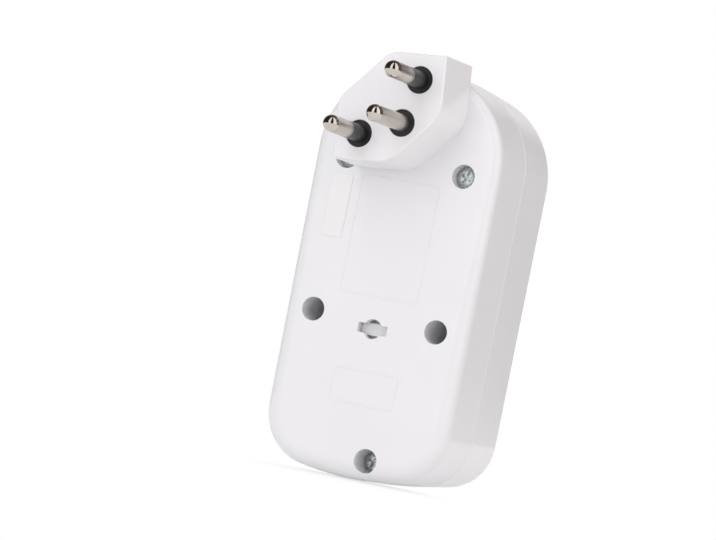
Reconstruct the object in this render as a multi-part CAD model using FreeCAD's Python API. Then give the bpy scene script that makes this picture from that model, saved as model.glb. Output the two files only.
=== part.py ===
import FreeCAD, Part
import math
import os

# Multi-plug adapter: a type 12 plug on the back, three type 13 sockets in the front.
# The pieces are drawn lying on the plug face: x across, y along the body, z the depth behind
# that face. The last step stands them up, so that the pins point along +Y and +Z is up.

# Plug
pin_radius = 2.0
pin_length = 19.0
pin_spacing = 19.0
earth_offset = 5.0
pin_neck_radius = 1.4
pin_seat_radius = 1.8
sleeve_reach = 8.3
collar_radius = 3.2
collar_recess = 0.4
plug_height = 17.0
plug_half_length = 17.95
plug_half_width = 10.0
plug_slope = 46.0
plug_corner_radius = 5.0
plug_earth_corner_radius = 8.5
plug_draft = 0.1
plug_face_wall = 2.6
plug_side_wall = 2.2
plug_edge_radius = 0.5
carrier_ledge = 0.6
plug_turn = 130.0
stake_radius = 1.0
stake_head_radius = 1.5
stake_head = 0.5
stake_spots = [(-1.5, 9.0), (3.4, 9.0), (-4.0, -9.0)]

# Housing: the corner centres are the x of the middles of the outline's corner arcs
body_above_plug = 12.1
body_below_sockets = 19.0
body_depth = 40.0
rear_depth = 18.4
wall = 2.2
side_gap = 1.2
top_corner_centre = 1.25
top_arc_radius = 44.0
bottom_corner_centre = 10.65
bottom_arc_radius = 73.0
back_edge_top = 1.9
back_edge_bottom = 4.3
front_edge_radius = 3.1
front_draft = 2.6
lip_thickness = 1.0
lip_height = 1.5
seam_chamfer = 0.2

# Screws: two beside the upper socket, two in deep wells below the middle one, one at the end
top_screw_x = 14.9
top_screw_below_socket = 2.6
top_screw_sink = 2.2
well_x = 15.75
well_below_socket = 10.5
well_sink = 14.0
end_screw_x = -4.8
end_screw_margin = 4.8
end_screw_sink = 5.7
well_radius = 2.85
well_wall = 1.25
screw_head_radius = 2.5
screw_head = 1.9
screw_shank_radius = 1.4
screw_length = 12.0
screw_seat = 2.0
drive_width = 0.75
drive_length = 3.0
drive_depth = 1.2
drive_turn = 25
quarter_turn = 90
screw_rim = 0.9
screw_crown = 0.15
screw_point = 2.2
boss_radius = 2.9

# Hanging keyhole
keyhole_below_socket = 12.6
keyhole_radius = 2.35
keyhole_slot_length = 7.4
keyhole_slot_width = 2.3
keyhole_pocket_depth = 1.8
keyhole_pocket_wall = 0.8
keyhole_room = 1.0
keyhole_rib_width = 2.9
keyhole_rib_gap = 0.5

# Sockets
socket_pitch = 29.0
socket_below_plug = 9.3
recess_depth = 12.0
recess_clearance = 0.35
recess_wall = 1.6
recess_floor = 1.8
recess_chamfer = 0.7
entry_radius = 2.3
entry_bevel = 0.5

# Shutters
shutter_thickness = 2.8
shutter_gap = 0.3
shutter_travel = 4.5
shutter_pad = 4.6
shutter_reach = 2.4
shutter_spine = 1.5
shutter_back = 3.8
shutter_ramp_edge = 0.8
shutter_ramp_crest = 0.6
shutter_bevel = 1.4
rail_width = 1.0
post_width = 1.0
spring_leaf = 0.22
spring_depth = 2.2
spring_legs = 7
spring_half_leg = 1.1

# Contacts and bars
carrier_plate = 1.8
carrier_inset = 0.8
contact_bore = 2.05
contact_radius = 2.95
contact_wall = 0.5
contact_base = 0.7
contact_slit = 0.6
contact_mouth = 1.2
contact_collar = 1.5
chimney_wall = 0.95
contact_play = 0.1
bar_thickness = 0.8
bar_gap = 0.8
earth_bar_lift = 1.2
insulator_thickness = 1.0
insulator_half_width = 10.5
rivet_radius = 1.1
rivet_head_radius = 1.6
rivet_head = 0.5
stem_radius = 1.4
eye_radius = 2.2
line_bar_centre = -9.3
line_bar_width = 4.0
neutral_bar_centre = 6.7
neutral_bar_width = 5.0
earth_bar_centre = -8.0
earth_bar_width = 3.0
support_x = 2.2
support_radius = 1.6
support_above_socket = 9.5
rib_below_socket = 12.0
rib_width = 2.4
rib_thickness = 2.0

# Gaps, and how far joined shapes run into each other and cuts run past what they open
clearance = 0.3
play = 0.1
fit = 0.02
overlap = 0.1
past = 1.0

# Depths behind the plug face
back_depth = plug_height
inner_back = back_depth + wall
parting = back_depth + rear_depth
front_depth = back_depth + body_depth
inner_front = front_depth - wall
floor_outer = front_depth - recess_depth
floor_inner = floor_outer - recess_floor
shutter_front = floor_inner - shutter_gap
shutter_rear = shutter_front - shutter_thickness
carrier_front = shutter_rear - shutter_gap
carrier_rear = carrier_front - carrier_plate
earth_bar_rear = inner_back + earth_bar_lift
earth_bar_front = earth_bar_rear + bar_thickness
insulator_rear = earth_bar_front + bar_gap
insulator_front = insulator_rear + insulator_thickness
live_bar_rear = insulator_front + bar_gap
live_bar_front = live_bar_rear + bar_thickness

# Pin places in the turned frame of a plug or socket: along neutral to line, and across to earth
PIN_PLACES = {"line": (pin_spacing / 2, 0.0),
              "neutral": (-pin_spacing / 2, 0.0),
              "earth": (0.0, earth_offset)}
SOCKETS = {"upper": -socket_below_plug,
           "middle": -socket_below_plug - socket_pitch,
           "lower": -socket_below_plug - 2 * socket_pitch}

# Places along the body that follow the sockets, and the body's outline sizes that follow from them
body_top = body_above_plug
body_bottom = SOCKETS["lower"] - body_below_sockets
half_width = well_x + well_radius + well_wall + side_gap + wall
keyhole_height = SOCKETS["middle"] - keyhole_below_socket
top_screw_height = SOCKETS["upper"] - top_screw_below_socket
well_height = SOCKETS["middle"] - well_below_socket
SCREWS = [(top_screw_x, top_screw_height, top_screw_sink), (-top_screw_x, top_screw_height, top_screw_sink),
          (well_x, well_height, well_sink), (-well_x, well_height, well_sink),
          (end_screw_x, body_bottom + end_screw_margin, end_screw_sink)]

vec = FreeCAD.Vector


def disc(x, y, radius, low, high):
    """Round rod along the depth."""
    return Part.makeCylinder(radius, high - low, vec(x, y, low))


def block(x0, x1, y0, y1, low, high):
    """Square-edged block between two corners."""
    return Part.makeBox(x1 - x0, y1 - y0, high - low, vec(x0, y0, low))


def joined(shapes):
    """One solid from touching shapes, without leftover seams."""
    return shapes[0].multiFuse(shapes[1:]).removeSplitter()


def turned(shape, height):
    """Places a shape drawn along the pin row at a plug or socket whose centre is at height."""
    place = FreeCAD.Placement(vec(0, height, 0), FreeCAD.Rotation(vec(0, 0, 1), plug_turn))
    moved = shape.copy()
    moved.Placement = place.multiply(moved.Placement)
    return moved


def pin_place(pole, height):
    """Middle of a pole's pin or contact for a plug or socket centred at height."""
    angle = math.radians(plug_turn)
    along, across = PIN_PLACES[pole]
    return (along * math.cos(angle) - across * math.sin(angle),
            height + along * math.sin(angle) + across * math.cos(angle))


def end_edges(sign, depth, offset):
    """Corner arc, end arc and corner arc of one end of the body's outline."""
    corner_x = top_corner_centre if sign > 0 else bottom_corner_centre
    corner = half_width - corner_x
    crown = top_arc_radius if sign > 0 else bottom_arc_radius
    tip = body_top if sign > 0 else -body_bottom
    crown_y = tip - crown
    corner_y = crown_y + math.sqrt((crown - corner) ** 2 - corner_x ** 2)
    join = math.atan2(corner_y - crown_y, corner_x)

    def at(radius, centre_x, centre_y, angle, side):
        return vec(side * (centre_x + radius * math.cos(angle)),
                   sign * (centre_y + radius * math.sin(angle)), depth)

    small, large = corner + offset, crown + offset
    arcs = []
    for side in (1, -1):
        arcs.append(Part.Arc(at(small, corner_x, corner_y, 0, side),
                             at(small, corner_x, corner_y, join / 2, side),
                             at(small, corner_x, corner_y, join, side)))
    crown_arc = Part.Arc(at(large, 0, crown_y, join, 1),
                         at(large, 0, crown_y, math.pi / 2, 1),
                         at(large, 0, crown_y, join, -1))
    return [arcs[0].toShape(), crown_arc.toShape(), arcs[1].toShape()], sign * corner_y


def body_outline(depth, offset=0.0):
    """Closed outline of the body at one depth, moved out or in by offset."""
    top, top_y = end_edges(1, depth, offset)
    bottom, bottom_y = end_edges(-1, depth, offset)
    half = half_width + offset
    sides = [Part.makeLine(vec(s * half, bottom_y, depth), vec(s * half, top_y, depth)) for s in (1, -1)]
    return Part.Wire(Part.__sortEdges__(top + bottom + sides))


def body_slab(low, high, offset=0.0, far_offset=None):
    """Body-shaped slab between two depths, with its sides sloped if the offsets differ."""
    if far_offset is None:
        return Part.Face(body_outline(low, offset)).extrude(vec(0, 0, high - low))
    return Part.makeLoft([body_outline(low, offset), body_outline(high, far_offset)], True, True)


def hexagon_corners(offset, depth):
    """Six corners of the plug's outline, moved out by offset."""
    slope = math.radians(plug_slope)
    across = plug_half_width + offset
    along = plug_half_length + offset / math.sin(slope)
    flat = along - across / math.tan(slope)
    corners = [(along, 0), (flat, across), (-flat, across),
               (-along, 0), (-flat, -across), (flat, -across)]
    return [vec(a, b, depth) for a, b in corners]


def hexagon_outline(depth, offset):
    """Closed outline of the plug at one depth, moved out by offset. Its four blunt corners are
    rounded, wider on the earth pin's side."""
    corners = hexagon_corners(offset, depth)
    edges = []
    ends = []
    for before, corner, after in zip(corners[-1:] + corners[:-1], corners, corners[1:] + corners[:1]):
        if abs(corner.y) < fit:
            ends.append((corner, corner))
            continue
        back = (before - corner).normalize()
        ahead = (after - corner).normalize()
        radius = offset + (plug_earth_corner_radius if corner.y > 0 else plug_corner_radius)
        half_angle = back.getAngle(ahead) / 2
        reach = radius / math.tan(half_angle)
        rise = radius / math.sin(half_angle) - radius
        ends.append((corner + back * reach, corner + ahead * reach))
        middle = corner + (back + ahead).normalize() * rise
        edges.append(Part.Arc(ends[-1][0], middle, ends[-1][1]).toShape())
    for (start, end), (following, last) in zip(ends, ends[1:] + ends[:1]):
        edges.append(Part.makeLine(end, following))
    return Part.Wire(Part.__sortEdges__(edges))


def hexagon_prism(low, high, offset=0.0, far_offset=None, height=0.0):
    """Plug-shaped prism between two depths, with its sides sloped if the offsets differ."""
    if far_offset is None:
        prism = Part.Face(hexagon_outline(low, offset)).extrude(vec(0, 0, high - low))
    else:
        prism = Part.makeLoft([hexagon_outline(low, offset), hexagon_outline(high, far_offset)], True, True)
    return turned(prism, height)


def revolved(points, tip_radius=0.0):
    """Solid of revolution about the depth axis from radius and depth pairs that start and end on
    the axis. With a tip radius, the last corner before the axis is a quarter round."""
    corners = [vec(r, 0, z) for r, z in points]
    edges = [Part.makeLine(a, b) for a, b in zip(corners[:-1], corners[1:])]
    if tip_radius:
        edges.pop()
        start, end = corners[-2], corners[-1]
        lean = math.sqrt(0.5)
        middle = vec(tip_radius * lean, 0, start.z + (end.z - start.z) * lean)
        edges.append(Part.Arc(start, middle, end).toShape())
    edges.append(Part.makeLine(corners[-1], corners[0]))
    return Part.Face(Part.Wire(edges)).revolve(vec(0, 0, 0), vec(0, 0, 1), 360)


def seat_depth(sink):
    """Depth of the face under a screw head that lies sink below the back."""
    return back_depth + sink + screw_head


def back_edge_radius(y):
    """Rounding of the back edge, which grows from the plug end to the far end."""
    share = (body_top - y) / (body_top - body_bottom)
    return back_edge_top + (back_edge_bottom - back_edge_top) * share


def rear_shell():
    """Rear outer form with a back edge whose rounding grows towards the lower end."""
    outer = body_slab(back_depth, parting)
    document = FreeCAD.newDocument("rear")
    base = document.addObject("Part::Feature", "base")
    base.Shape = outer
    rounded = document.addObject("Part::Fillet", "rounded")
    rounded.Base = base
    picks = []
    for number, edge in enumerate(base.Shape.Edges, 1):
        if all(abs(v.Z - back_depth) < 0.01 for v in edge.Vertexes):
            first = edge.valueAt(edge.FirstParameter)
            last = edge.valueAt(edge.LastParameter)
            picks.append((number, back_edge_radius(first.y), back_edge_radius(last.y)))
    rounded.Edges = picks
    document.recompute()
    shape = rounded.Shape.copy()
    FreeCAD.closeDocument("rear")
    return shape


def keyhole_cup():
    """Closed cup behind the keyhole, so that a hook reaches no live part."""
    half = keyhole_slot_length / 2 + keyhole_room + keyhole_pocket_wall
    rise = keyhole_radius + keyhole_room + keyhole_pocket_wall
    floor = inner_back + keyhole_pocket_depth
    return block(-half, half, keyhole_height - rise, keyhole_height + rise,
                 inner_back - overlap, floor + keyhole_pocket_wall)


def keyhole_void():
    """Slot and round opening through the back, and the room behind them."""
    half = keyhole_slot_length / 2
    rise = keyhole_radius + keyhole_room
    narrow = keyhole_slot_width / 2
    slot = block(-half, half, keyhole_height - narrow, keyhole_height + narrow,
                 back_depth - past, inner_back + overlap)
    room = block(-half - keyhole_room, half + keyhole_room, keyhole_height - rise, keyhole_height + rise,
                 inner_back, inner_back + keyhole_pocket_depth)
    rib = block(-half_width, half_width, keyhole_height - keyhole_rib_width / 2,
                keyhole_height + keyhole_rib_width / 2, inner_back + keyhole_rib_gap, front_depth)
    round_hole = disc(0, keyhole_height, keyhole_radius, back_depth - past, inner_back + overlap)
    return joined([slot, round_hole, room.cut(rib)])


def plug_room(low, high, inset, end_inset):
    """Hexagonal room inside the plug's side walls that also stays inside the housing's end wall,
    made smaller by one inset at the plug's sides and another at the housing's end."""
    room = hexagon_prism(low, high, -plug_side_wall - inset)
    return room.common(body_slab(low, high, -wall - end_inset))


def seam_bevelled(shell):
    """Bevels the outer edge where the two housings meet, so that the seam shows as a fine groove."""
    seam = [e for e in shell.Edges if all(abs(v.Z - parting) < fit for v in e.Vertexes)]
    return shell.makeChamfer(seam_chamfer, seam)


def bar_ribs(low, high):
    """Ribs above or below the earth bar."""
    reach, half = rib_width / 2, rib_thickness / 2
    ribs = []
    for socket in ("upper", "middle"):
        y = SOCKETS[socket] - rib_below_socket
        ribs.append(block(earth_bar_centre - reach, earth_bar_centre + reach, y - half, y + half, low, high))
    return ribs


def rear_housing():
    """Back shell with screw wells, keyhole cup, ribs on the earth bar and the plug's window."""
    shell = seam_bevelled(rear_shell())
    shell = shell.cut(body_slab(inner_back, parting + past, -wall))
    shell = shell.cut(body_slab(parting - lip_height - play, parting + past, lip_thickness - wall + play))
    adds = [keyhole_cup()] + bar_ribs(inner_back - overlap, earth_bar_rear)
    cuts = [keyhole_void(), plug_room(back_depth - past, inner_back + past, carrier_ledge - play, play)]
    for x, y, sink in SCREWS:
        seat = seat_depth(sink)
        adds.append(disc(x, y, well_radius + well_wall, inner_back - overlap, seat + screw_seat))
        cuts.append(disc(x, y, well_radius, back_depth - past, seat))
        cuts.append(disc(x, y, screw_shank_radius + clearance, back_depth, seat + screw_seat + past))
    for a, b in stake_spots:
        cuts.append(turned(disc(a, b, stake_radius + fit, back_depth - past, inner_back + past), 0))
    return joined([shell] + adds).cut(Part.makeCompound(cuts))


def plug_block():
    """Hexagonal shell of the plug. Its pocket ends inside the housing's end wall, so the corner
    that stands past the housing is closed underneath. Staked posts hold it to the back."""
    outer = hexagon_prism(0, back_depth, 0, plug_draft)
    rim = [e for e in outer.Edges if all(abs(v.Z) < fit for v in e.Vertexes)]
    outer = outer.makeFillet(plug_edge_radius, rim)
    solid = outer.cut(plug_room(plug_face_wall, back_depth + past, 0, 0))
    for pole in PIN_PLACES:
        x, y = pin_place(pole, 0)
        solid = solid.cut(disc(x, y, collar_radius + 2 * fit, -past, plug_face_wall + past))
    stakes = []
    for a, b in stake_spots:
        stakes.append(turned(disc(a, b, stake_radius, back_depth - past, inner_back + stake_head), 0))
        stakes.append(turned(disc(a, b, stake_head_radius, inner_back, inner_back + stake_head), 0))
    return joined([solid] + stakes)


def pin_carrier():
    """Black insert that fills the plug's pocket. Its collars show around the pins."""
    upper = plug_room(plug_face_wall, back_depth, play, play)
    foot = plug_room(back_depth - overlap, inner_back, carrier_ledge, 2 * play)
    collars = []
    bores = []
    for pole in PIN_PLACES:
        x, y = pin_place(pole, 0)
        collars.append(disc(x, y, collar_radius, collar_recess, plug_face_wall + past))
        bores.append(disc(x, y, pin_neck_radius + fit, -past, inner_back + past))
        bores.append(disc(x, y, pin_seat_radius + fit, -past, plug_face_wall))
    return joined([upper, foot] + collars).cut(Part.makeCompound(bores))


def pin(pole):
    """Round pin with a ball end, a neck under the sleeve or collar, and a riveted rear end."""
    rear = earth_bar_front if pole == "earth" else live_bar_front
    profile = [(0, rear + rivet_head), (rivet_head_radius, rear + rivet_head), (rivet_head_radius, rear),
               (pin_neck_radius, rear)]
    if pole == "earth":
        profile += [(pin_neck_radius, plug_face_wall), (pin_seat_radius, plug_face_wall),
                    (pin_seat_radius, collar_recess), (pin_radius, collar_recess)]
    else:
        profile += [(pin_neck_radius, -sleeve_reach), (pin_radius, -sleeve_reach)]
    profile += [(pin_radius, pin_radius - pin_length), (0, -pin_length)]
    x, y = pin_place(pole, 0)
    shape = revolved(profile, pin_radius)
    shape.translate(vec(x, y, 0))
    return shape


def pin_sleeve(pole):
    """Insulating sleeve, flush with the bare end of its pin and thinner inside its collar."""
    x, y = pin_place(pole, 0)
    tube = joined([disc(x, y, pin_radius, -sleeve_reach, collar_recess),
                   disc(x, y, pin_seat_radius, -sleeve_reach, plug_face_wall)])
    return tube.cut(disc(x, y, pin_neck_radius + fit, -sleeve_reach - past, plug_face_wall + past))


def front_housing():
    """Front shell with three plug-shaped recesses, their pin entries and the screw bosses."""
    slope = math.tan(math.radians(front_draft))
    outer = body_slab(parting, front_depth, 0, -slope * (front_depth - parting))
    rim = [e for e in outer.Edges if all(abs(v.Z - front_depth) < fit for v in e.Vertexes)]
    outer = seam_bevelled(outer.makeFillet(front_edge_radius, rim))
    hollow = body_slab(parting - past, inner_front, -wall + slope * past,
                       -wall - slope * (inner_front - parting))
    lip = body_slab(parting - lip_height, parting + lip_height, lip_thickness - wall)
    lip = lip.cut(body_slab(parting - lip_height - past, parting + lip_height + past, -wall))
    boss_room = body_slab(back_depth, parting, -wall - clearance)
    boss_room = boss_room.fuse(body_slab(parting, front_depth, -wall / 2))
    adds = [lip]
    cuts = []
    cup = recess_clearance + recess_wall
    for height in SOCKETS.values():
        adds.append(hexagon_prism(floor_inner, inner_front + overlap, cup, None, height))
        cuts.append(hexagon_prism(floor_outer, front_depth + past, recess_clearance, None, height))
        cuts.append(hexagon_prism(front_depth - recess_chamfer, front_depth + overlap, recess_clearance,
                                  recess_clearance + recess_chamfer + overlap, height))
        for pole in PIN_PLACES:
            x, y = pin_place(pole, height)
            cuts.append(disc(x, y, entry_radius, floor_inner - past, floor_outer + past))
            cuts.append(Part.makeCone(entry_radius, entry_radius + entry_bevel, entry_bevel,
                                      vec(x, y, floor_outer - entry_bevel)))
    for x, y, sink in SCREWS:
        top = seat_depth(sink) + screw_seat
        adds.append(disc(x, y, boss_radius, top, inner_front + overlap).common(boss_room))
        cuts.append(disc(x, y, screw_shank_radius + fit, top - past, seat_depth(sink) + screw_length + past))
    return joined([outer.cut(hollow)] + adds).cut(Part.makeCompound(cuts))


def socket_shutter(height):
    """Comb-shaped slide that covers the line and neutral entries. A ramp on each tooth turns the
    push of the two pins into travel along the pin row."""
    tooth = pin_spacing / 2
    half = shutter_pad / 2
    spine = block(-tooth - half, tooth + half, -shutter_back, shutter_spine - shutter_back,
                  shutter_rear, shutter_front)
    teeth = []
    for middle in (tooth, -tooth):
        side = [vec(middle - half, -shutter_back, shutter_rear),
                vec(middle + half, -shutter_back, shutter_rear),
                vec(middle + half, -shutter_back, shutter_rear + shutter_ramp_edge),
                vec(middle - half + shutter_ramp_crest, -shutter_back, shutter_front),
                vec(middle - half, -shutter_back, shutter_front)]
        face = Part.Face(Part.makePolygon(side + side[:1]))
        teeth.append(face.extrude(vec(0, shutter_back + shutter_reach, 0)))
    comb = joined([spine] + teeth)
    corner = [e for e in comb.Edges if len(e.Vertexes) == 2
              and all(abs(v.X + tooth + half) < fit and abs(v.Y + shutter_back) < fit for v in e.Vertexes)]
    return turned(comb.makeChamfer(shutter_bevel, corner), height)


def shutter_spring(height):
    """Serpentine leaf between the carrier's post and the shutter's line tooth."""
    middle = (shutter_rear + shutter_front) / 2
    low, high = middle - spring_depth / 2, middle + spring_depth / 2
    length = pin_spacing / 2 - shutter_pad / 2
    pitch = (length - spring_leaf) / (spring_legs - 1)
    pieces = []
    for leg in range(spring_legs):
        a = leg * pitch
        pieces.append(block(a, a + spring_leaf, -spring_half_leg, spring_half_leg, low, high))
    for bend in range(spring_legs - 1):
        side = 1 if bend % 2 else -1
        a = spring_leaf / 2 + (bend + 0.5) * pitch
        start = side * spring_half_leg
        ring = disc(a, start, (pitch + spring_leaf) / 2, low, high)
        ring = ring.cut(disc(a, start, (pitch - spring_leaf) / 2, low - past, high + past))
        keep = block(a - pitch, a + pitch, min(start, start + side * pitch), max(start, start + side * pitch),
                     low, high)
        pieces.append(ring.common(keep))
    return turned(joined(pieces), height)


def shutter_guides(height):
    """Rails, end stops and spring post that guide one shutter on the carrier's front."""
    reach = pin_spacing / 2 + shutter_pad / 2
    low, high = carrier_front - overlap, floor_inner
    left = -reach - shutter_travel - clearance
    right = reach + clearance
    back = -shutter_back - clearance
    front = shutter_reach + clearance
    gap = entry_radius + rail_width
    walls = [block(left - rail_width, right + rail_width, back - rail_width, back, low, high),
             block(left - rail_width, left, back - rail_width, front + rail_width, low, high),
             block(right, right + rail_width, back - rail_width, front + rail_width, low, high),
             block(left - rail_width, -gap, front, front + rail_width, low, high),
             block(gap, right + rail_width, front, front + rail_width, low, high),
             block(-post_width, 0, shutter_spine - shutter_back + clearance, shutter_reach,
                   low, high - shutter_gap)]
    return [turned(piece, height) for piece in walls]


def contact_carrier():
    """Inner frame: a plate with a chimney for each contact, posts under the insulating plate, and
    the shutters' guides on its front."""
    adds = [body_slab(carrier_rear, carrier_front, -wall - carrier_inset)]
    cuts = []
    chimney = contact_radius + contact_play
    for height in SOCKETS.values():
        adds.extend(shutter_guides(height))
        for pole in PIN_PLACES:
            x, y = pin_place(pole, height)
            adds.append(disc(x, y, chimney + chimney_wall, live_bar_front, carrier_rear + overlap))
            cuts.append(disc(x, y, chimney, live_bar_front - past, carrier_rear))
            cuts.append(disc(x, y, entry_radius, carrier_rear - past, carrier_front + past))
        adds.append(disc(support_x, height + support_above_socket, support_radius,
                         insulator_front, carrier_rear + overlap))
    for x, y, sink in SCREWS:
        cuts.append(disc(x, y, boss_radius + clearance, carrier_rear - past, floor_inner + past))
    return joined(adds).cut(Part.makeCompound(cuts))


def contact(pole, height):
    """Slit spring sleeve with a flared mouth. Its tail is riveted into its bar, and the earth
    contact has a longer stem that passes through the insulating plate."""
    bar_front = earth_bar_front if pole == "earth" else live_bar_front
    bar_rear = bar_front - bar_thickness
    base = live_bar_front
    mouth = carrier_rear
    outer = contact_bore + contact_wall
    profile = [(0, bar_rear - rivet_head), (rivet_head_radius, bar_rear - rivet_head),
               (rivet_head_radius, bar_rear), (rivet_radius, bar_rear), (rivet_radius, bar_front)]
    if pole == "earth":
        profile += [(stem_radius, bar_front), (stem_radius, base)]
    floor = base + contact_base
    flare = contact_radius - outer
    profile += [(contact_radius, base), (contact_radius, floor), (outer, floor + flare),
                (outer, mouth - contact_mouth), (contact_radius, mouth), (contact_bore + flare, mouth),
                (contact_bore, mouth - contact_mouth), (contact_bore, floor), (0, floor)]
    sleeve = revolved(profile)
    for turn in (0, quarter_turn):
        slit = block(-contact_slit / 2, contact_slit / 2, -contact_radius - past, contact_radius + past,
                     floor + contact_collar, mouth + past)
        slit.rotate(vec(0, 0, 0), vec(0, 0, 1), turn)
        sleeve = sleeve.cut(slit)
    x, y = pin_place(pole, height)
    sleeve.translate(vec(x, y, 0))
    return sleeve


def bus_bar(pole, centre, width, front):
    """Flat strip along the body with an eye at each contact and one at the plug pin."""
    rear = front - bar_thickness
    places = [pin_place(pole, height) for height in SOCKETS.values()]
    pin_x, pin_y = pin_place(pole, 0)
    places.append((pin_x, pin_y))
    heights = [y for x, y in places]
    low, high = min(heights) - eye_radius, max(heights) + eye_radius
    pieces = [block(centre - width / 2, centre + width / 2, low, high, rear, front)]
    for x, y in places:
        pieces.append(disc(x, y, eye_radius, rear, front))
        pieces.append(block(min(x, centre), max(x, centre), y - eye_radius, y + eye_radius, rear, front))
    holes = [disc(x, y, rivet_radius + fit, rear - past, front + past) for x, y in places[:-1]]
    holes.append(disc(pin_x, pin_y, pin_neck_radius + fit, rear - past, front + past))
    bar = joined(pieces).common(body_slab(rear, front, -wall - clearance))
    return bar.cut(Part.makeCompound(holes))


def insulating_plate():
    """Sheet between the live bars and the earth bar, with ribs that carry the earth bar."""
    low = pin_place("neutral", SOCKETS["lower"])[1] - contact_radius
    sheet = block(-insulator_half_width, insulator_half_width, low, body_top, insulator_rear, insulator_front)
    sheet = sheet.common(body_slab(insulator_rear, insulator_front, -wall - clearance))
    below, above = earth_bar_front - past, insulator_front + past
    cuts = []
    for height in SOCKETS.values():
        x, y = pin_place("earth", height)
        cuts.append(disc(x, y, stem_radius + clearance, below, above))
    for pole in ("line", "neutral"):
        x, y = pin_place(pole, 0)
        cuts.append(disc(x, y, pin_neck_radius + clearance, below, above))
    for x, y, sink in SCREWS:
        cuts.append(disc(x, y, well_radius + well_wall + clearance, below, above))
    ribs = bar_ribs(earth_bar_front, insulator_rear + overlap)
    return joined([sheet] + ribs).cut(Part.makeCompound(cuts))


def housing_screws():
    """Five equal cross-headed screws, three near the back face and two at the bottom of wells."""
    screws = []
    for x, y, sink in SCREWS:
        seat = seat_depth(sink)
        top = seat - screw_head
        tip = seat + screw_length
        profile = [(0, tip), (screw_shank_radius, tip - screw_point), (screw_shank_radius, seat),
                   (screw_head_radius, seat), (screw_head_radius, seat - screw_rim),
                   (screw_head_radius - screw_rim, top + screw_crown), (0, top)]
        screw = revolved(profile)
        for turn in (drive_turn, drive_turn + quarter_turn):
            slot = block(-drive_width / 2, drive_width / 2, -drive_length / 2, drive_length / 2,
                         top - past, top + drive_depth)
            slot.rotate(vec(0, 0, 0), vec(0, 0, 1), turn)
            screw = screw.cut(slot)
        screw.translate(vec(x, y, 0))
        screws.append(screw)
    return Part.makeCompound(screws)


def stand_up(shape):
    """Turns a piece from lying on the plug face to hanging with its pins along +Y."""
    raised = shape.copy()
    raised.rotate(vec(0, 0, 0), vec(1, 0, 0), quarter_turn)
    return raised


def all_pieces():
    """Every piece by its node name."""
    pieces = {"rear_housing": rear_housing(), "front_housing": front_housing(), "plug_block": plug_block(),
              "pin_carrier": pin_carrier(), "contact_carrier": contact_carrier(),
              "insulating_plate": insulating_plate(), "housing_screws": housing_screws()}
    for pole in PIN_PLACES:
        pieces[pole + "_pin"] = pin(pole)
    for pole in ("line", "neutral"):
        pieces[pole + "_pin_sleeve"] = pin_sleeve(pole)
    pieces["line_bar"] = bus_bar("line", line_bar_centre, line_bar_width, live_bar_front)
    pieces["neutral_bar"] = bus_bar("neutral", neutral_bar_centre, neutral_bar_width, live_bar_front)
    pieces["earth_bar"] = bus_bar("earth", earth_bar_centre, earth_bar_width, earth_bar_front)
    for name, height in SOCKETS.items():
        pieces[name + "_shutter"] = socket_shutter(height)
        pieces[name + "_shutter_spring"] = shutter_spring(height)
        for pole in PIN_PLACES:
            pieces[name + "_" + pole + "_contact"] = contact(pole, height)
    return pieces


os.makedirs("parts", exist_ok=True)
for name, shape in all_pieces().items():
    shape = stand_up(shape)
    shape.exportStep("parts/" + name + ".step")
    box = shape.BoundBox
    print(name, "solids", len(shape.Solids), "valid", shape.isValid(), "volume", round(shape.Volume, 1),
          "box", [round(v, 1) for v in (box.XMin, box.XMax, box.YMin, box.YMax, box.ZMin, box.ZMax)])
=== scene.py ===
import bmesh
import bpy
import math
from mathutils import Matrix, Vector


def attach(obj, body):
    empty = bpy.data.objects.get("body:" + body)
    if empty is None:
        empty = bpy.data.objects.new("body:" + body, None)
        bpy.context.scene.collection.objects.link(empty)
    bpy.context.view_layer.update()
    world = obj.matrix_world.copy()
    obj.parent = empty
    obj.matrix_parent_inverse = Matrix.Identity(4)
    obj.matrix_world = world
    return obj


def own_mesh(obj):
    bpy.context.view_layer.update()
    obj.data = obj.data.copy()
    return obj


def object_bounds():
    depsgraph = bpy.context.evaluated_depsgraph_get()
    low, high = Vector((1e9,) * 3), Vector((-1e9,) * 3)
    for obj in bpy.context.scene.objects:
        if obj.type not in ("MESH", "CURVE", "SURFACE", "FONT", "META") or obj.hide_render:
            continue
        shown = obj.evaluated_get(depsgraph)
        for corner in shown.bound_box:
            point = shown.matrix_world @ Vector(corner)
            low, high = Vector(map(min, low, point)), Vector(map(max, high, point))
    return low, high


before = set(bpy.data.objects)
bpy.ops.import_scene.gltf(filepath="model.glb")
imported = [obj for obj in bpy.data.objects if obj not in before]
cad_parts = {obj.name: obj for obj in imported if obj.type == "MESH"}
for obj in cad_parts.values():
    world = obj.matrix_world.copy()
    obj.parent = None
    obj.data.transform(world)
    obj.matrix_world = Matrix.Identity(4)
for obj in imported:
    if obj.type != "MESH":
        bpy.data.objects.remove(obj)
cad_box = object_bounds()

# Camera: it stands behind the adapter, on the plug's side, slightly below the pins and rolled,
# so that the long body leans in the picture and one side wall shows. Lengths in this file are in
# metres, and the angles of the camera and the studio in degrees.
CAMERA_LENS = 196.089
CAMERA_PLACE = (-0.33986, 0.83228, -0.06451)
CAMERA_ANGLES = (91.6971, -11.4158, -158.15)
scene = bpy.context.scene
scene.view_settings.view_transform = "Standard"
camera = bpy.data.objects.new("photo_camera", bpy.data.cameras.new("photo_camera"))
camera.data.lens = CAMERA_LENS
camera.location = CAMERA_PLACE
camera.rotation_euler = [math.radians(angle) for angle in CAMERA_ANGLES]
scene.collection.objects.link(camera)
scene.camera = camera

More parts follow.
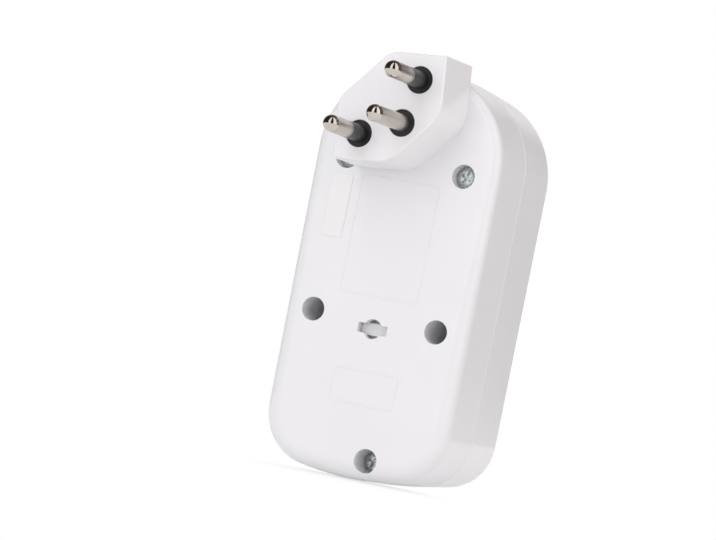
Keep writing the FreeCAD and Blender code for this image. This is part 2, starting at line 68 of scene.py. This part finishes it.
# Studio: two tall softboxes, one on each side of the camera, light the back and the plug, and two
# more light the front and the top. Reflections show only the front one, and white cards for the
# two tall ones. The world fills the shadows, less from above than from the sides.
SEEN_WHITE = (1.0, 1.0, 1.0, 1.0)
FILL_TINT = (1.0, 0.985, 1.0, 1.0)
FILL_HEIGHT = (0.1, 1.0)
FILL_STRENGTH = (0.86, 0.44)
middle = (cad_box[0] + cad_box[1]) / 2


def studio_direction(turn, rise):
    """Direction from the adapter. Turn goes from straight behind it towards its camera side."""
    turn, rise = math.radians(turn), math.radians(rise)
    level = math.cos(rise)
    return Vector((-math.sin(turn) * level, math.cos(turn) * level, math.sin(rise)))


def softbox(name, turn, rise, distance, width, height, watts, tint, glossy):
    """Large even lamp that faces the adapter and stays out of the camera's sight."""
    lamp = bpy.data.lights.new(name, "AREA")
    lamp.shape = "RECTANGLE"
    lamp.size, lamp.size_y = width, height
    lamp.energy = watts
    lamp.color = tint
    box = bpy.data.objects.new(name, lamp)
    towards = studio_direction(turn, rise)
    box.location = middle + towards * distance
    box.rotation_mode = "QUATERNION"
    box.rotation_quaternion = towards.to_track_quat("Z", "Y")
    box.visible_camera = False
    box.visible_glossy = glossy
    scene.collection.objects.link(box)


softbox("key_softbox", turn=-10, rise=20, distance=1.15, width=0.52, height=2.40, watts=6.0,
        tint=(0.985, 0.978, 1.0), glossy=False)
softbox("side_softbox", turn=68, rise=14, distance=1.15, width=1.10, height=2.00, watts=4.2,
        tint=(1.0, 0.87, 0.83), glossy=False)
softbox("front_softbox", turn=200, rise=10, distance=1.50, width=1.60, height=1.40, watts=5.3,
        tint=(1.0, 1.0, 1.0), glossy=True)
softbox("overhead_softbox", turn=0, rise=60, distance=1.50, width=1.40, height=1.40, watts=0.6,
        tint=(1.0, 1.0, 1.0), glossy=False)


def feed(tree, slot, value):
    """Joins a socket to an input, or sets a plain value on it."""
    if isinstance(value, bpy.types.NodeSocket):
        tree.links.new(value, slot)
    else:
        slot.default_value = value


def ranged(tree, value, ends, results, curve="LINEAR"):
    """Value mapped from one range to another. The results may be numbers or sockets."""
    node = tree.nodes.new("ShaderNodeMapRange")
    node.interpolation_type = curve
    tree.links.new(value, node.inputs["Value"])
    for label, end in zip(("From Min", "From Max", "To Min", "To Max"), (*ends, *results)):
        feed(tree, node.inputs[label], end)
    return node.outputs["Result"]


def combined(tree, operation, *values):
    """Math on one or two values, each a number or a socket."""
    node = tree.nodes.new("ShaderNodeMath")
    node.operation = operation
    for slot, value in zip(node.inputs, values):
        feed(tree, slot, value)
    return node.outputs[0]


def mixed(tree, share, first, second):
    """Mix of two shaders."""
    node = tree.nodes.new("ShaderNodeMixShader")
    for slot, socket in zip(node.inputs, (share, first, second)):
        tree.links.new(socket, slot)
    return node.outputs[0]


def looked_at(tree):
    """One for rays that come straight from the camera, a mirror or glass, else zero."""
    rays = tree.nodes.new("ShaderNodeLightPath").outputs
    seen = combined(tree, "MAXIMUM", rays["Is Camera Ray"], rays["Is Glossy Ray"])
    return combined(tree, "MAXIMUM", seen, rays["Is Transmission Ray"])


world = bpy.data.worlds.new("white_studio")
scene.world = world
world.use_nodes = True
tree = world.node_tree
tree.nodes.clear()
backdrop = tree.nodes.new("ShaderNodeBackground")
backdrop.inputs["Color"].default_value = SEEN_WHITE
fill = tree.nodes.new("ShaderNodeBackground")
fill.inputs["Color"].default_value = FILL_TINT
ray = tree.nodes.new("ShaderNodeSeparateXYZ")
tree.links.new(tree.nodes.new("ShaderNodeTexCoord").outputs["Generated"], ray.inputs[0])
tree.links.new(ranged(tree, ray.outputs["Z"], FILL_HEIGHT, FILL_STRENGTH), fill.inputs["Strength"])
surroundings = mixed(tree, looked_at(tree), fill.outputs[0], backdrop.outputs[0])
tree.links.new(surroundings, tree.nodes.new("ShaderNodeOutputWorld").inputs["Surface"])

# Floor: a white sheet just under the adapter. Near it the sheet is partly matt paper, which takes
# a faint shadow, and further out it turns into the plain white of the background. From below it
# can't be seen.
FLOOR_DROP = 0.0003
FLOOR_RADIUS = 6.0
FLOOR_SIDES = 64
PAPER_WHITE = (0.96, 0.96, 0.96, 1.0)
SHADOW_REACH = (0.008, 0.031)
WHITE_SHARE = (0.70, 1.0)


def new_material(name):
    """Node material with only its output, and its tree."""
    material = bpy.data.materials.new(name)
    material.use_nodes = True
    material.node_tree.nodes.clear()
    material.node_tree.nodes.new("ShaderNodeOutputMaterial")
    return material, material.node_tree


def to_output(tree, socket):
    """Joins a shader to the material's output."""
    tree.links.new(socket, tree.nodes["Material Output"].inputs["Surface"])


def object_place(tree):
    """The object's own coordinates, which are metres in the CAD frame for the CAD nodes."""
    return tree.nodes.new("ShaderNodeTexCoord").outputs["Object"]


def mesh_object(name, builder):
    """New object in the scene from a bmesh."""
    mesh = bpy.data.meshes.new(name)
    builder.to_mesh(mesh)
    builder.free()
    piece = bpy.data.objects.new(name, mesh)
    scene.collection.objects.link(piece)
    return piece


builder = bmesh.new()
bmesh.ops.create_circle(builder, cap_ends=True, segments=FLOOR_SIDES, radius=FLOOR_RADIUS)
floor = mesh_object("studio_floor", builder)
floor.location = (0, middle.y, cad_box[0].z - FLOOR_DROP)
material, tree = new_material("floor_sheet")
paper = tree.nodes.new("ShaderNodeBsdfDiffuse")
paper.inputs["Color"].default_value = PAPER_WHITE
white = tree.nodes.new("ShaderNodeEmission")
clear = tree.nodes.new("ShaderNodeBsdfTransparent")
distance = tree.nodes.new("ShaderNodeVectorMath")
distance.operation = "LENGTH"
tree.links.new(object_place(tree), distance.inputs[0])
whiteness = ranged(tree, distance.outputs["Value"], SHADOW_REACH, WHITE_SHARE, "SMOOTHERSTEP")
share = combined(tree, "MULTIPLY", whiteness, looked_at(tree))
sheet = mixed(tree, share, paper.outputs[0], white.outputs[0])
underside = tree.nodes.new("ShaderNodeNewGeometry").outputs["Backfacing"]
to_output(tree, mixed(tree, underside, sheet, clear.outputs[0]))
floor.data.materials.append(material)

# Flags: cloths and cards around the studio that only reflections see. The two white cards and the
# dark cloths draw the bands on the polished pins, and the grey hood keeps the adapter's edges
# apart from the white.
FLAG_DISTANCE = 1.6
FLAG_STEPS = 16
FLAG_LOW = -10
FLAG_HIGH = 80
FLAG_TOP = 90
DARK_CLOTH = (0.030, 0.022, 0.018, 1.0)
GREY_CLOTH = (0.13, 0.115, 0.11, 1.0)
WHITE_CARD = (1.3, 1.3, 1.3, 1.0)


def flag(name, start, end, colour, low=FLAG_LOW, high=FLAG_HIGH):
    """Curved cloth between two turns around the adapter and two rises."""
    material, tree = new_material(name + "_cloth")
    cloth = tree.nodes.new("ShaderNodeEmission")
    cloth.inputs["Color"].default_value = colour
    to_output(tree, cloth.outputs[0])
    builder = bmesh.new()
    turns = [start + (end - start) * step / FLAG_STEPS for step in range(FLAG_STEPS + 1)]
    rises = [low + (high - low) * step / FLAG_STEPS for step in range(FLAG_STEPS + 1)]
    columns = [[builder.verts.new(middle + studio_direction(turn, rise) * FLAG_DISTANCE)
                for rise in rises] for turn in turns]
    for left, right in zip(columns[:-1], columns[1:]):
        for row in range(FLAG_STEPS):
            builder.faces.new((left[row], right[row], right[row + 1], left[row + 1]))
    card = mesh_object(name, builder)
    card.data.materials.append(material)
    card.visible_camera = False
    card.visible_diffuse = False
    card.visible_shadow = False
    card.visible_volume_scatter = False


flag("middle_flag", start=7, end=44, colour=DARK_CLOTH)
flag("key_side_flag", start=-105, end=-24, colour=DARK_CLOTH)
flag("key_card", start=-24, end=7, colour=WHITE_CARD)
flag("side_card", start=44, end=92, colour=WHITE_CARD)
flag("grey_hood", start=92, end=255, colour=GREY_CLOTH)
flag("ceiling_flag", start=-180, end=180, colour=DARK_CLOTH, low=FLAG_HIGH, high=FLAG_TOP)

# Housing and plug block: three mouldings in white plastic. The block's white is painted a shade
# lighter, as painted light that offsets the shade of the pins on its face. Screws hold the two
# shells together, and the block is staked to the rear one. The skin is softly glossy, with a fine
# grain from the mould, broad sink waves and faint marks from handling.
NOISE_SPREAD = (0.3, 0.7)
FULL = (0.0, 1.0)
VALUE = "NodeSocketFloat"
COLOUR = "NodeSocketColor"
SCUFF_TURNS = ((0.5, 0.35, 0.65), (-0.9, -0.63, -1.17))  # radians
SCUFF_STRETCH = (1.0, 0.06, 1.0)
SCUFF_EDGE = (0.62, 0.72)
FAINT_SCUFFS = {"Scale": 420, "Amount": 0.01}
TINT_CLOUDS = 48
GLOSS_PATCHES = 210
SINK_WAVES = 95
GRAIN_HEIGHT = 0.05
PLASTIC = {"IOR": 1.5}
WHITE_SKIN = {"gloss": (0.220, 0.258), "grain": 2600, "sink": 0.35, "depth": 0.00002}


def new_group(name, inputs, outputs):
    """Shader node group with named sockets, what it is given and what it puts out."""
    group = bpy.data.node_groups.new(name, "ShaderNodeTree")
    for label, kind in inputs.items():
        group.interface.new_socket(label, in_out="INPUT", socket_type=kind)
    for label, kind in outputs.items():
        group.interface.new_socket(label, in_out="OUTPUT", socket_type=kind)
    given = group.nodes.new("NodeGroupInput").outputs
    result = group.nodes.new("NodeGroupOutput").inputs
    return group, given, result


def placed(tree, group, values):
    """Outputs of a node group that is placed in a tree with its own values."""
    node = tree.nodes.new("ShaderNodeGroup")
    node.node_tree = group
    for label, value in values.items():
        node.inputs[label].default_value = value
    return node.outputs


def noise(tree, place, scale, detail, stretch=None, turn=(0, 0, 0)):
    """Noise at these coordinates, so many waves to the metre, which may run in streaks."""
    if stretch:
        mapping = tree.nodes.new("ShaderNodeMapping")
        mapping.inputs["Rotation"].default_value = turn
        mapping.inputs["Scale"].default_value = stretch
        tree.links.new(place, mapping.inputs["Vector"])
        place = mapping.outputs["Vector"]
    texture = tree.nodes.new("ShaderNodeTexNoise")
    texture.inputs["Detail"].default_value = detail
    feed(tree, texture.inputs["Scale"], scale)
    tree.links.new(place, texture.inputs["Vector"])
    return texture.outputs["Fac"]


def blended(tree, share, first, second):
    """Mix of two colours, each a colour or a socket."""
    node = tree.nodes.new("ShaderNodeMix")
    node.data_type = "RGBA"
    tree.links.new(share, node.inputs["Factor"])
    colour_slots = [slot for slot in node.inputs if slot.type == "RGBA"]
    for slot, value in zip(colour_slots, (first, second)):
        feed(tree, slot, value)
    return next(socket for socket in node.outputs if socket.type == "RGBA")


def surfaced(tree, plain, colour, roughness, relief, depth, strength=1.0):
    """Main shader with its plain values, its varying colour and roughness, and its relief."""
    shader = tree.nodes.new("ShaderNodeBsdfPrincipled")
    for label, value in plain.items():
        shader.inputs[label].default_value = value
    bump = tree.nodes.new("ShaderNodeBump")
    bump.inputs["Strength"].default_value = strength
    bump.inputs["Distance"].default_value = depth
    tree.links.new(relief, bump.inputs["Height"])
    tree.links.new(colour, shader.inputs["Base Color"])
    tree.links.new(roughness, shader.inputs["Roughness"])
    tree.links.new(bump.outputs["Normal"], shader.inputs["Normal"])
    to_output(tree, shader.outputs[0])


scuffs, given, result = new_group("handling_scuffs", {"Scale": VALUE, "Amount": VALUE},
                                  {"Mask": VALUE})
place = object_place(scuffs)
strokes = []
for turn in SCUFF_TURNS:
    streaks = noise(scuffs, place, given["Scale"], detail=4, stretch=SCUFF_STRETCH, turn=turn)
    strokes.append(ranged(scuffs, streaks, SCUFF_EDGE, FULL))
mask = combined(scuffs, "MULTIPLY", combined(scuffs, "MAXIMUM", *strokes), given["Amount"])
scuffs.links.new(mask, result["Mask"])

skin, given, result = new_group(
    "moulded_skin",
    {"Light": COLOUR, "Deep": COLOUR, "Smooth": VALUE, "Rough": VALUE,
     "Grain": VALUE, "Sink": VALUE},
    {"Color": COLOUR, "Roughness": VALUE, "Height": VALUE})
place = object_place(skin)
clouds = ranged(skin, noise(skin, place, TINT_CLOUDS, detail=3), NOISE_SPREAD, FULL)
skin.links.new(blended(skin, clouds, given["Deep"], given["Light"]), result["Color"])
patches = noise(skin, place, GLOSS_PATCHES, detail=4)
gloss = ranged(skin, patches, NOISE_SPREAD, (given["Smooth"], given["Rough"]))
rubbed = placed(skin, scuffs, FAINT_SCUFFS)["Mask"]
skin.links.new(combined(skin, "ADD", gloss, rubbed), result["Roughness"])
grain = combined(skin, "MULTIPLY", noise(skin, place, given["Grain"], detail=2), GRAIN_HEIGHT)
waves = combined(skin, "MULTIPLY", noise(skin, place, SINK_WAVES, detail=1), given["Sink"])
skin.links.new(combined(skin, "ADD", grain, waves), result["Height"])


def moulded_plastic(name, light, deep, gloss, grain, sink, depth):
    """Moulded plastic: its tints, the range of its gloss, its grain and its sink waves."""
    material, tree = new_material(name)
    surface = placed(tree, skin, {"Light": light, "Deep": deep, "Smooth": gloss[0],
                                  "Rough": gloss[1], "Grain": grain, "Sink": sink})
    surfaced(tree, PLASTIC, surface["Color"], surface["Roughness"], surface["Height"], depth)
    return material


def dress(material, *names):
    """Gives CAD nodes their material."""
    for name in names:
        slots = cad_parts[name].data.materials
        slots.clear()
        slots.append(material)


white_plastic = moulded_plastic("white_plastic", light=(0.864, 0.865, 0.880, 1.0),
                                deep=(0.848, 0.850, 0.866, 1.0), **WHITE_SKIN)
# The block's lighter white is painted light that offsets the shade of its pins.
plug_plastic_painted_lighter = moulded_plastic("plug_white_plastic_painted_light", light=(0.905, 0.904, 0.916, 1.0),
                               deep=(0.890, 0.889, 0.902, 1.0), **WHITE_SKIN)
dress(white_plastic, "rear_housing", "front_housing")
dress(plug_plastic_painted_lighter, "plug_block")

# Marking fields: two flat rims moulded on the rear housing. They frame the places that stay bare.
# Their flanks slope, so that they come out of the mould.
BACK = -0.017
RIM_HEIGHT = 0.00009
RIM_SINK = 0.00005
CORNER_STEPS = 6


def rounded_rectangle(x, z, radius):
    """Points round a rectangle on the back, with arcs at its corners."""
    left, right = x[0] + radius, x[1] - radius
    bottom, top = z[0] + radius, z[1] - radius
    points = []
    for corner_x, corner_z, start in ((right, top, 0), (left, top, 90),
                                      (left, bottom, 180), (right, bottom, 270)):
        for step in range(CORNER_STEPS + 1):
            angle = math.radians(start + 90 * step / CORNER_STEPS)
            points.append((corner_x + radius * math.cos(angle),
                           corner_z + radius * math.sin(angle)))
    return points


def rim(name, x, z, radius, width, slope):
    """Low moulded frame with sloped flanks along a rounded rectangle."""
    builder = bmesh.new()
    loops = []
    for inset, y in ((0, BACK - RIM_SINK), (slope, BACK + RIM_HEIGHT),
                     (width - slope, BACK + RIM_HEIGHT), (width, BACK - RIM_SINK)):
        outline = rounded_rectangle((x[0] + inset, x[1] - inset), (z[0] + inset, z[1] - inset),
                                    radius - inset)
        loops.append([builder.verts.new((point_x, y, point_z)) for point_x, point_z in outline])
    for outer, inner in zip(loops[:-1], loops[1:]):
        for number in range(len(outer)):
            after = (number + 1) % len(outer)
            builder.faces.new((outer[number], outer[after], inner[after], inner[number]))
    bmesh.ops.recalc_face_normals(builder, faces=builder.faces)
    piece = mesh_object(name, builder)
    for face in piece.data.polygons:
        face.use_smooth = True
    piece.data.materials.append(white_plastic)
    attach(piece, "housing")


rim("upper_field_rim", x=(-0.0101, 0.0101), z=(-0.0435, -0.0151), radius=0.0012, width=0.00045,
    slope=0.00014)
rim("lower_field_rim", x=(-0.0092, 0.0073), z=(-0.0692, -0.0608), radius=0.0009, width=0.00040,
    slope=0.00012)

# Sticker: a bare strip of matt paper label beside the upper field, pressed on by hand, with one
# corner that has begun to lift. Shares and lifts are measured on a sheet one wide and one high.
STICKER_MIDDLE = (0.0148, -0.0237)
STICKER_SIZE = (0.0050, 0.0148)
STICKER_THICKNESS = 0.00009
STICKER_GRID = (14, 34)
CORNER_SHARE = (0.14, 0.045)
CORNER_PULL = (0.05, 0.015)
LIFT_HEIGHT = 0.00022
LIFT_START = 0.95
LIFT_SLANT = 1.6
LIFT_CURVE = 1.5
LABEL_DULL = (0.850, 0.846, 0.846, 1.0)
LABEL_WHITE = (0.880, 0.876, 0.876, 1.0)
builder = bmesh.new()
bmesh.ops.create_grid(builder, x_segments=STICKER_GRID[0], y_segments=STICKER_GRID[1], size=0.5)
for vertex in builder.verts:
    across, along = vertex.co.x, vertex.co.y
    into_corner = [max(abs(part) * 2 - 1 + share, 0) / share
                   for part, share in zip((across, along), CORNER_SHARE)]
    pull = max(math.hypot(*into_corner) - 1, 0)
    lift = LIFT_HEIGHT * max(across - LIFT_SLANT * along - LIFT_START, 0) ** LIFT_CURVE
    vertex.co = (STICKER_MIDDLE[0] + STICKER_SIZE[0] * across * (1 - CORNER_PULL[0] * pull),
                 BACK + STICKER_THICKNESS + lift,
                 STICKER_MIDDLE[1] + STICKER_SIZE[1] * along * (1 - CORNER_PULL[1] * pull))
sticker = mesh_object("bare_sticker", builder)
thickness = sticker.modifiers.new("paper", "SOLIDIFY")
thickness.thickness = STICKER_THICKNESS
thickness.offset = 0
material, tree = new_material("label_paper")
fibres = noise(tree, object_place(tree), scale=2600, detail=5)
surfaced(tree, {"IOR": 1.45},
         colour=blended(tree, ranged(tree, fibres, NOISE_SPREAD, FULL), LABEL_DULL, LABEL_WHITE),
         roughness=ranged(tree, fibres, NOISE_SPREAD, (0.29, 0.36)),
         relief=fibres, depth=0.000006, strength=0.8)
sticker.data.materials.append(material)
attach(sticker, "housing")

# Pin carrier and sleeves: black plastic. The carrier fills the plug block, so that its collars
# show round the pins, and the sleeves cover the inner half of the line and neutral pins.
HARD_SKIN = {"gloss": (0.34, 0.44), "grain": 5200, "sink": 0.3, "depth": 0.00003}
black_plastic = moulded_plastic("black_plastic", light=(0.016, 0.016, 0.017, 1.0),
                                deep=(0.010, 0.010, 0.011, 1.0), **HARD_SKIN)
dress(black_plastic, "pin_carrier", "line_pin_sleeve", "neutral_pin_sleeve")

# Pins: turned brass, nickel-plated and polished, with a mirror-bright ball end. The shaft shows
# the lathe's rings, wipe marks along the pin, and fine grooves: two where a sleeve ends, and one
# at the earth pin's collar. The grooves are cut into the relief, and their dark colour is painted
# shade.
SLEEVE_GROOVES = (0.00870, 0.00925)
COLLAR_GROOVE = (0.0,)
GROOVE_WIDTH = 0.00022
GROOVE_ROUGHNESS = 0.15
# The grooves' dark colour is painted shade.
GROOVE_SHADE_COLOUR = (0.22, 0.19, 0.16, 1.0)
RING_HEIGHT = 0.12
BALL_START = (0.0166, 0.0174)
BALL_POLISH = -0.21
WIPE_SPREAD = (0.35, 0.7)
WIPED_ROUGHNESS = (0.285, 0.34)
METAL = {"Metallic": 1.0}
NICKEL_WARM = (0.57, 0.520, 0.465, 1.0)
NICKEL_PALE = (0.62, 0.570, 0.515, 1.0)


def nickel_plating(name, groove_places):
    """Polished plating over turned brass, with painted shade in fine grooves at these places on the
    pin.
    """
    material, tree = new_material(name)
    place = object_place(tree)
    haze = noise(tree, place, scale=320, detail=3)
    wipes = noise(tree, place, scale=2600, detail=3, stretch=(1.0, 0.03, 1.0))
    rings = noise(tree, place, scale=900, detail=2, stretch=(0.02, 9.0, 0.02))
    axes = tree.nodes.new("ShaderNodeSeparateXYZ")
    tree.links.new(place, axes.inputs[0])
    along = axes.outputs["Y"]
    groove_and_shade = 0.0
    for groove_place in groove_places:
        away = combined(tree, "ABSOLUTE", combined(tree, "SUBTRACT", along, groove_place))
        near = ranged(tree, away, (0.0, GROOVE_WIDTH), (1.0, 0.0))
        groove_and_shade = combined(tree, "MAXIMUM", groove_and_shade, near)
    plating = blended(tree, ranged(tree, haze, NOISE_SPREAD, FULL), NICKEL_WARM, NICKEL_PALE)
    polish = ranged(tree, along, BALL_START, (0.0, BALL_POLISH))
    wiped = combined(tree, "ADD", ranged(tree, wipes, WIPE_SPREAD, WIPED_ROUGHNESS), polish)
    rough_groove = combined(tree, "MULTIPLY", groove_and_shade, GROOVE_ROUGHNESS)
    turned = combined(tree, "MULTIPLY", rings, RING_HEIGHT)
    # In the grooves the colour is darkened as painted shade, while relief and roughness mark the
    # real groove.
    surfaced(tree, METAL,
             colour=blended(tree, groove_and_shade, plating, GROOVE_SHADE_COLOUR),
             roughness=combined(tree, "ADD", wiped, rough_groove),
             relief=combined(tree, "SUBTRACT", turned, groove_and_shade), depth=0.00003)
    return material


dress(nickel_plating("sleeved_pin_plating", SLEEVE_GROOVES), "line_pin", "neutral_pin")
dress(nickel_plating("bare_pin_plating", COLLAR_GROOVE), "earth_pin")

# Screws: zinc-plated steel with a rounded cross-headed top, from a tumbling bath, so the plating
# is blue-grey and mottled. Two sit deep in their wells.
CRYSTAL_SPREAD = (0.42, 0.58)
ZINC_DULL = (0.56, 0.61, 0.63, 1.0)
ZINC_BRIGHT = (0.94, 0.98, 0.99, 1.0)
material, tree = new_material("zinc_plating")
place = object_place(tree)
crystals = noise(tree, place, scale=1700, detail=3)
dents = noise(tree, place, scale=3600, detail=2)
surfaced(tree, METAL,
         colour=blended(tree, ranged(tree, crystals, CRYSTAL_SPREAD, FULL), ZINC_DULL, ZINC_BRIGHT),
         roughness=ranged(tree, dents, NOISE_SPREAD, (0.29, 0.36)),
         relief=combined(tree, "ADD", crystals, dents), depth=0.00014)
dress(material, "housing_screws")

# Shutters: light grey plastic slides behind the socket entries. Their springs are strips of
# spring steel folded to and fro, and each gets a mesh of its own.
SOCKETS = (("upper", -0.0093), ("middle", -0.0383), ("lower", -0.0673))
STEEL_DARK = (0.40, 0.41, 0.43, 1.0)
STEEL_BRIGHT = (0.60, 0.61, 0.63, 1.0)
grey_plastic = moulded_plastic("grey_plastic", light=(0.72, 0.73, 0.75, 1.0),
                               deep=(0.68, 0.69, 0.71, 1.0), **HARD_SKIN)
material, tree = new_material("spring_steel")
drawn = noise(tree, object_place(tree), scale=4200, detail=3, stretch=(1.0, 0.1, 1.0))
surfaced(tree, METAL,
         colour=blended(tree, drawn, STEEL_DARK, STEEL_BRIGHT),
         roughness=ranged(tree, drawn, NOISE_SPREAD, (0.285, 0.37)),
         relief=drawn, depth=0.00001, strength=0.8)
for socket, height in SOCKETS:
    dress(grey_plastic, socket + "_shutter")
    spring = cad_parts[socket + "_shutter_spring"]
    dress(material, socket + "_shutter_spring")
    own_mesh(spring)

# Contacts and bars: stamped and rolled spring brass. Each contact sleeve is riveted to the bar of
# its pole, and the bars are riveted to the plug's pins. The brass has begun to tarnish.
TARNISH_SPREAD = (0.4, 0.75)
BRASS_BRIGHT = (0.78, 0.60, 0.31, 1.0)
BRASS_TARNISHED = (0.52, 0.36, 0.17, 1.0)
material, tree = new_material("spring_brass")
place = object_place(tree)
tarnish = ranged(tree, noise(tree, place, scale=190, detail=5), TARNISH_SPREAD, FULL)
rolled = noise(tree, place, scale=3000, detail=3, stretch=(1.0, 1.0, 0.05))
surfaced(tree, METAL,
         colour=blended(tree, tarnish, BRASS_BRIGHT, BRASS_TARNISHED),
         roughness=ranged(tree, rolled, NOISE_SPREAD, (0.29, 0.42)),
         relief=rolled, depth=0.00002, strength=0.8)
for pole in ("line", "neutral", "earth"):
    dress(material, pole + "_bar")
    for socket, height in SOCKETS:
        dress(material, socket + "_" + pole + "_contact")

# Contact carrier: pale inner frame with a chimney for each contact and the shutters' guides, held
# between the shells by the screw bosses.
pale_plastic = moulded_plastic("pale_plastic", light=(0.74, 0.735, 0.71, 1.0),
                               deep=(0.70, 0.69, 0.665, 1.0), gloss=(0.42, 0.55), grain=3800,
                               sink=0.4, depth=0.00004)
dress(pale_plastic, "contact_carrier")

# Insulating plate: brown laminate sheet with its paper fibres, between the live bars and the
# earth bar.
RESIN_SPREAD = (0.2, 0.8)
RESIN_SHADE = (0.7, 1.3)
LAMINATE_DARK = (0.30, 0.15, 0.07, 1.0)
LAMINATE_PALE = (0.50, 0.30, 0.15, 1.0)
material, tree = new_material("laminate_sheet")
place = object_place(tree)
weave = noise(tree, place, scale=1800, detail=4, stretch=(1.0, 1.0, 0.12))
resin = noise(tree, place, scale=150, detail=3)
tone = combined(tree, "MULTIPLY", weave, ranged(tree, resin, RESIN_SPREAD, RESIN_SHADE))
surfaced(tree, PLASTIC,
         colour=blended(tree, ranged(tree, tone, NOISE_SPREAD, FULL), LAMINATE_DARK, LAMINATE_PALE),
         roughness=ranged(tree, resin, NOISE_SPREAD, (0.30, 0.48)),
         relief=weave, depth=0.00002, strength=0.8)
dress(material, "insulating_plate")
